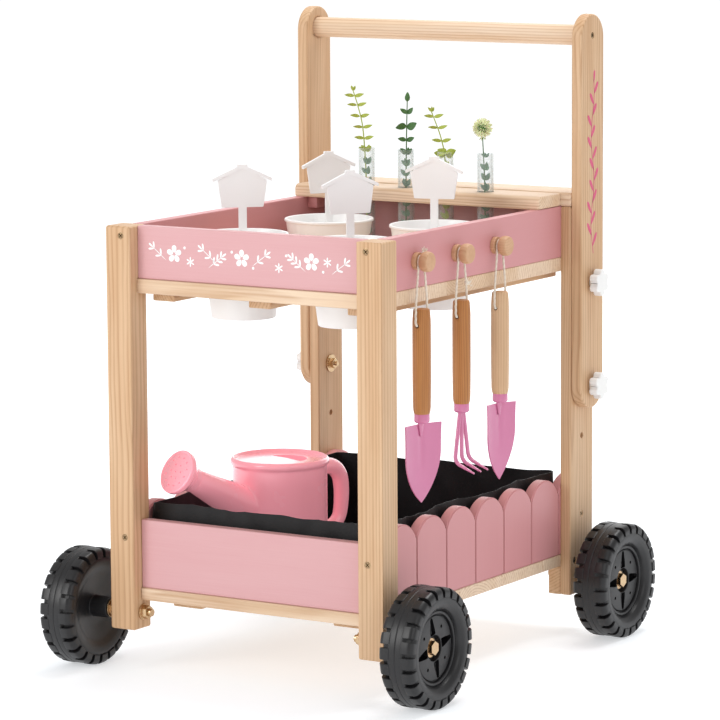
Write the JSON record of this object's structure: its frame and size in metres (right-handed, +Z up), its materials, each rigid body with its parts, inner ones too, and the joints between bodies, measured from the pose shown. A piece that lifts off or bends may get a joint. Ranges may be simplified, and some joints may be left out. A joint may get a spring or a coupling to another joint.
{
  "type": "push-along gardening cart",
  "caption": "Wooden gardening cart on wheels with a push handle, pots in the top tray, a tube rack, hanging tools and a watering can in the lined bottom tray.",
  "frame": {"origin": "on the floor, midway between the axles and midway across the cart", "axes": "+X right, -Y towards the flower-painted front panel, +Y towards the push handle, +Z up"},
  "size_m": [0.454, 0.522, 0.673],
  "materials": {
    "pine": "clear matt lacquer",
    "pink_paint": "satin paint on wood",
    "zinc_steel": "yellow zinc plate",
    "white_plastic": "moulded",
    "black_plastic": "moulded, satin",
    "clear_glass": "polished",
    "leaf_green": "matt",
    "black_fabric": "non-woven",
    "pink_plastic": "soft satin",
    "oiled_wood": "oiled",
    "pink_metal": "gloss",
    "white_cord": "twisted"
  },
  "bodies": {
    "frame": {"front_left_post": "pine", "front_right_post": "pine", "rear_left_leg": "pine", "rear_right_leg": "pine", "upper_front_panel": "pink_paint", "upper_rear_panel": "pink_paint", "upper_left_panel": "pink_paint", "upper_right_panel": "pink_paint", "upper_shelf": "pine", "battens_and_blocks": "pine", "rack_cleats": "pink_paint", "lower_front_panel": "pink_paint", "lower_rear_panel": "pink_paint", "left_picket_panel": "pink_paint", "right_picket_panel": "pink_paint", "lower_shelf_slats": "pine", "tube_rack_board": "pine", "rear_top_board": "pine", "tool_pegs": "pine", "wood_screws": "zinc_steel", "bolts_nuts_washers": "zinc_steel", "left_upright": "pine", "right_upright": "pine", "handle_bar": "pine"},
    "front_left_wheel": {"front_left_wheel": "black_plastic"},
    "front_right_wheel": {"front_right_wheel": "black_plastic"},
    "rear_left_wheel": {"rear_left_wheel": "black_plastic"},
    "rear_right_wheel": {"rear_right_wheel": "black_plastic"},
    "left_upper_knob": {"left_upper_knob": "white_plastic"},
    "left_lower_knob": {"left_lower_knob": "white_plastic"},
    "right_upper_knob": {"right_upper_knob": "white_plastic"},
    "right_lower_knob": {"right_lower_knob": "white_plastic"},
    "front_left_pot": {"front_left_pot": "white_plastic"},
    "front_left_label": {"front_left_label": "white_plastic"},
    "front_right_pot": {"front_right_pot": "white_plastic"},
    "front_right_label": {"front_right_label": "white_plastic"},
    "rear_left_pot": {"rear_left_pot": "white_plastic"},
    "rear_left_label": {"rear_left_label": "white_plastic"},
    "rear_right_pot": {"rear_right_pot": "white_plastic"},
    "rear_right_label": {"rear_right_label": "white_plastic"},
    "tube_1": {"test_tube_1": "clear_glass", "sprig_1": "leaf_green"},
    "tube_2": {"test_tube_2": "clear_glass", "sprig_2": "leaf_green"},
    "tube_3": {"test_tube_3": "clear_glass", "sprig_3": "leaf_green"},
    "tube_4": {"test_tube_4": "clear_glass", "sprig_4": "leaf_green"},
    "can": {"watering_can": "pink_plastic"},
    "rose": {"can_rose": "pink_plastic"},
    "liner": {"tray_liner": "black_fabric"},
    "wide_trowel": {"wide_trowel_grip": "oiled_wood", "wide_trowel_blade": "pink_metal", "wide_trowel_cord": "white_cord"},
    "rake": {"rake_grip": "oiled_wood", "rake_tines": "pink_metal", "rake_cord": "white_cord"},
    "narrow_trowel": {"narrow_trowel_grip": "pine", "narrow_trowel_blade": "pink_metal", "narrow_trowel_cord": "white_cord"}
  },
  "joints": [
    {"name": "front_left_wheel_spin", "type": "hinge", "parent": "frame", "child": "front_left_wheel", "pos_m": [-0.2, -0.199, 0.062], "axis": [1, 0, 0], "continuous": true},
    {"name": "front_right_wheel_spin", "type": "hinge", "parent": "frame", "child": "front_right_wheel", "pos_m": [0.2, -0.199, 0.062], "axis": [1, 0, 0], "continuous": true},
    {"name": "rear_left_wheel_spin", "type": "hinge", "parent": "frame", "child": "rear_left_wheel", "pos_m": [-0.2, 0.199, 0.062], "axis": [1, 0, 0], "continuous": true},
    {"name": "rear_right_wheel_spin", "type": "hinge", "parent": "frame", "child": "rear_right_wheel", "pos_m": [0.2, 0.199, 0.062], "axis": [1, 0, 0], "continuous": true},
    {"name": "left_upper_knob_turn", "type": "hinge", "parent": "frame", "child": "left_upper_knob", "pos_m": [-0.19, 0.199, 0.385], "axis": [1, 0, 0], "continuous": true},
    {"name": "left_lower_knob_turn", "type": "hinge", "parent": "frame", "child": "left_lower_knob", "pos_m": [-0.19, 0.199, 0.273], "axis": [1, 0, 0], "continuous": true},
    {"name": "right_upper_knob_turn", "type": "hinge", "parent": "frame", "child": "right_upper_knob", "pos_m": [0.19, 0.199, 0.385], "axis": [1, 0, 0], "continuous": true},
    {"name": "right_lower_knob_turn", "type": "hinge", "parent": "frame", "child": "right_lower_knob", "pos_m": [0.19, 0.199, 0.273], "axis": [1, 0, 0], "continuous": true},
    {"name": "front_left_pot_lift", "type": "slide", "parent": "frame", "child": "front_left_pot", "axis": [0, 0, 1], "range_m": [0, 0.1]},
    {"name": "front_left_label_lift", "type": "slide", "parent": "front_left_pot", "child": "front_left_label", "axis": [0, 0, 1], "range_m": [0, 0.1]},
    {"name": "front_right_pot_lift", "type": "slide", "parent": "frame", "child": "front_right_pot", "axis": [0, 0, 1], "range_m": [0, 0.1]},
    {"name": "front_right_label_lift", "type": "slide", "parent": "front_right_pot", "child": "front_right_label", "axis": [0, 0, 1], "range_m": [0, 0.1]},
    {"name": "rear_left_pot_lift", "type": "slide", "parent": "frame", "child": "rear_left_pot", "axis": [0, 0, 1], "range_m": [0, 0.1]},
    {"name": "rear_left_label_lift", "type": "slide", "parent": "rear_left_pot", "child": "rear_left_label", "axis": [0, 0, 1], "range_m": [0, 0.1]},
    {"name": "rear_right_pot_lift", "type": "slide", "parent": "frame", "child": "rear_right_pot", "axis": [0, 0, 1], "range_m": [0, 0.1]},
    {"name": "rear_right_label_lift", "type": "slide", "parent": "rear_right_pot", "child": "rear_right_label", "axis": [0, 0, 1], "range_m": [0, 0.1]},
    {"name": "tube_1_lift", "type": "slide", "parent": "frame", "child": "tube_1", "axis": [0, 0, 1], "range_m": [0, 0.12]},
    {"name": "tube_2_lift", "type": "slide", "parent": "frame", "child": "tube_2", "axis": [0, 0, 1], "range_m": [0, 0.12]},
    {"name": "tube_3_lift", "type": "slide", "parent": "frame", "child": "tube_3", "axis": [0, 0, 1], "range_m": [0, 0.12]},
    {"name": "tube_4_lift", "type": "slide", "parent": "frame", "child": "tube_4", "axis": [0, 0, 1], "range_m": [0, 0.12]},
    {"name": "can_lift", "type": "slide", "parent": "liner", "child": "can", "axis": [0, 0, 1], "range_m": [0, 0.08]},
    {"name": "rose_twist", "type": "hinge", "parent": "can", "child": "rose", "pos_m": [-0.10817, -0.14531, 0.19589], "axis": [-0.2728, -0.8397, 0.4695], "continuous": true},
    {"name": "wide_trowel_swing", "type": "hinge", "parent": "frame", "child": "wide_trowel", "pos_m": [0.1615, -0.128, 0.4405], "axis": [1, 0, 0], "range_deg": [-5, 5]},
    {"name": "rake_swing", "type": "hinge", "parent": "frame", "child": "rake", "pos_m": [0.1615, -0.0485, 0.4405], "axis": [1, 0, 0], "range_deg": [-5, 5]},
    {"name": "narrow_trowel_swing", "type": "hinge", "parent": "frame", "child": "narrow_trowel", "pos_m": [0.1615, 0.031, 0.4405], "axis": [1, 0, 0], "range_deg": [-5, 5]},
    {"name": "liner_lift", "type": "slide", "parent": "frame", "child": "liner", "axis": [0, 0, 1], "range_m": [0, 0.05]}
  ]
}
